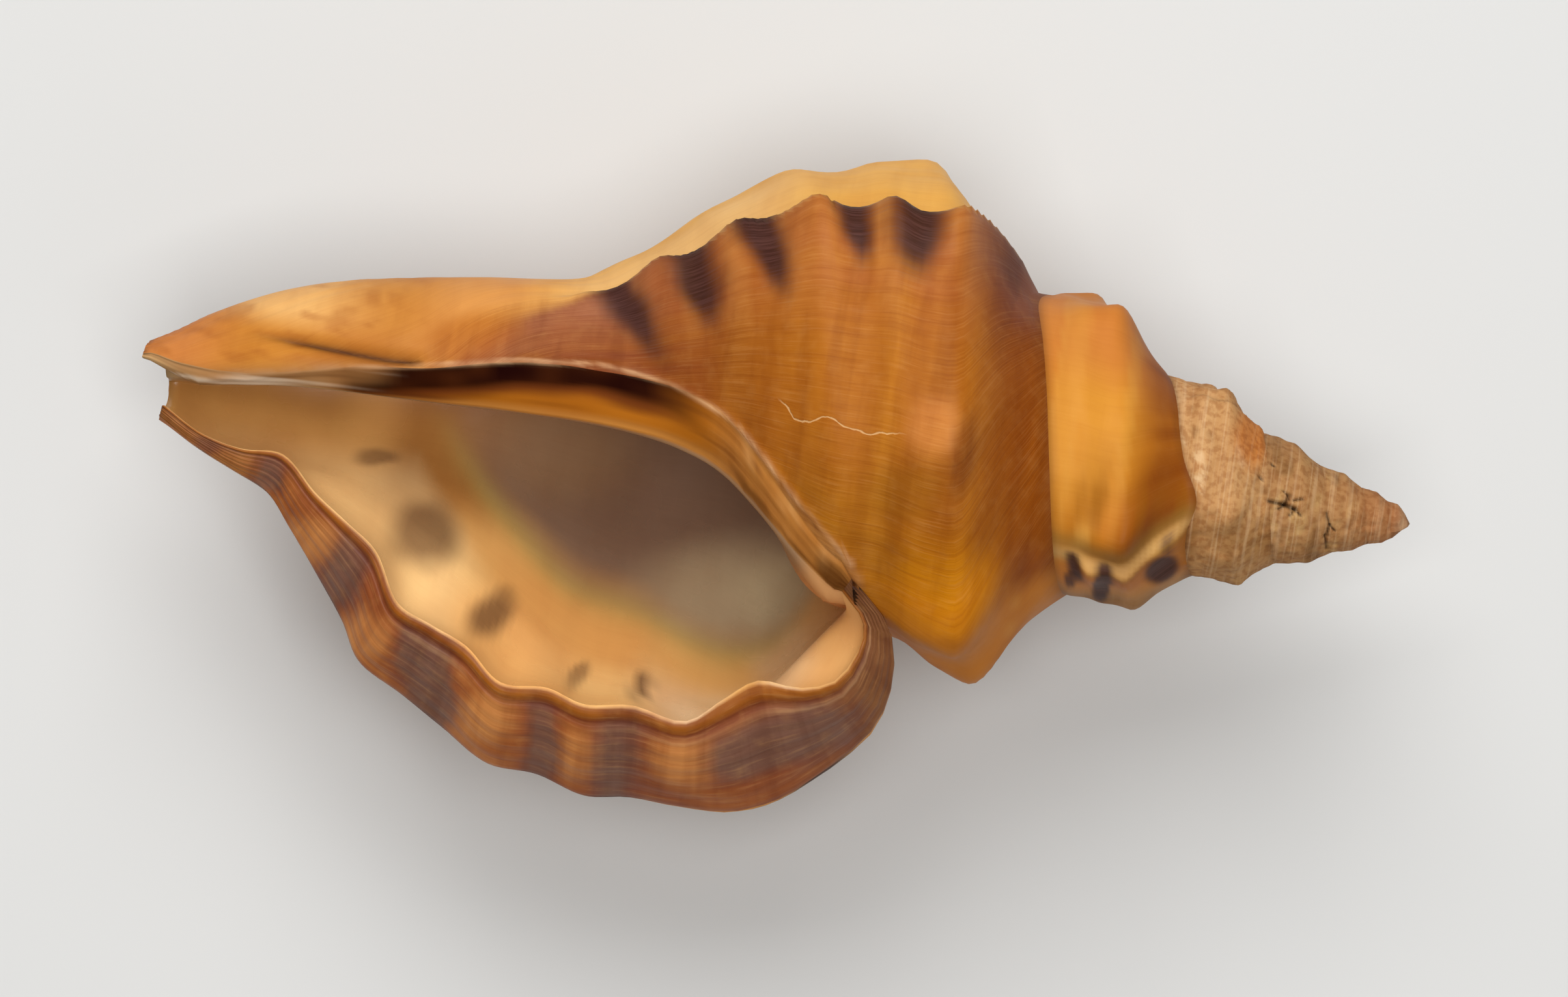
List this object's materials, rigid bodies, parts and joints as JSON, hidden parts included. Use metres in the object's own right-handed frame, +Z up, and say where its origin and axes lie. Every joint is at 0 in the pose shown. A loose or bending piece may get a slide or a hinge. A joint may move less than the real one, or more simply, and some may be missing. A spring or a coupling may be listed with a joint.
{
  "type": "tiger triton seashell",
  "caption": "Spiral seashell lying on its back with its aperture up, orange-brown with dark bars, a pale flared lip and a worn spire.",
  "frame": {"origin": "under the middle of the shell's bounding box, on the surface it rests on", "axes": "+X along the shell's axis towards the apex, +Z up out of the aperture"},
  "size_m": [0.13, 0.0692, 0.0551],
  "materials": {
    "shell_surface": "worn glossy shell"
  },
  "bodies": {
    "root": {"shell": "shell_surface"}
  },
  "joints": []
}
